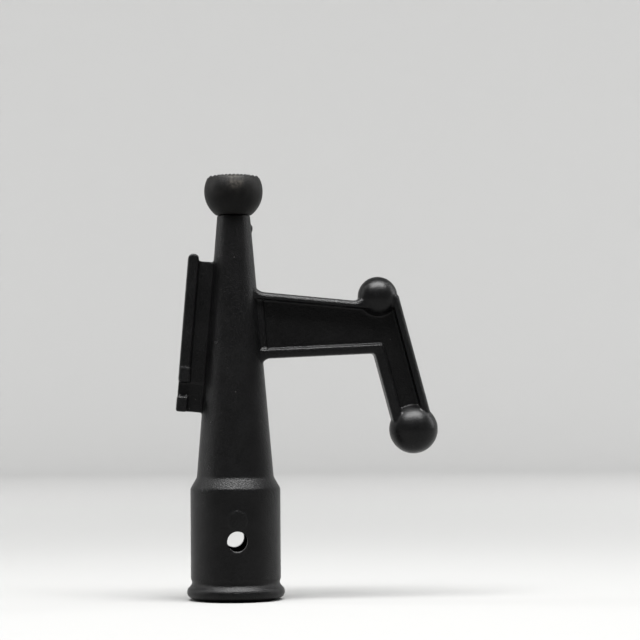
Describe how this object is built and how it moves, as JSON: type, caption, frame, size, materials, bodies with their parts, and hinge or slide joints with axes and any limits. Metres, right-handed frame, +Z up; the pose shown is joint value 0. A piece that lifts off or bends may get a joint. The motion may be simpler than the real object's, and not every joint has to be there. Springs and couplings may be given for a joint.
{
  "type": "boat hook head",
  "caption": "Boat hook head with a pole socket, a ball-ended hook arm, a push-on rubber tip and a flat rail down its back.",
  "frame": {"origin": "on the pole's axis, in the plane of the socket's mouth", "axes": "+Z up the pole's axis towards the rubber tip, +X towards the hook arm, +Y towards the back, so the web of the hook lies in Y = 0"},
  "size_m": [0.1046, 0.0388, 0.1695],
  "materials": {
    "nylon": "satin black nylon with a fine moulded grain",
    "rubber": "dull black soft rubber"
  },
  "bodies": {
    "head": {"hook_body": "nylon"},
    "tip": {"pusher_tip": "rubber"}
  },
  "joints": [
    {"name": "tip_pull", "type": "slide", "parent": "head", "child": "tip", "axis": [0, 0, 1], "range_m": [0, 0.012]}
  ]
}
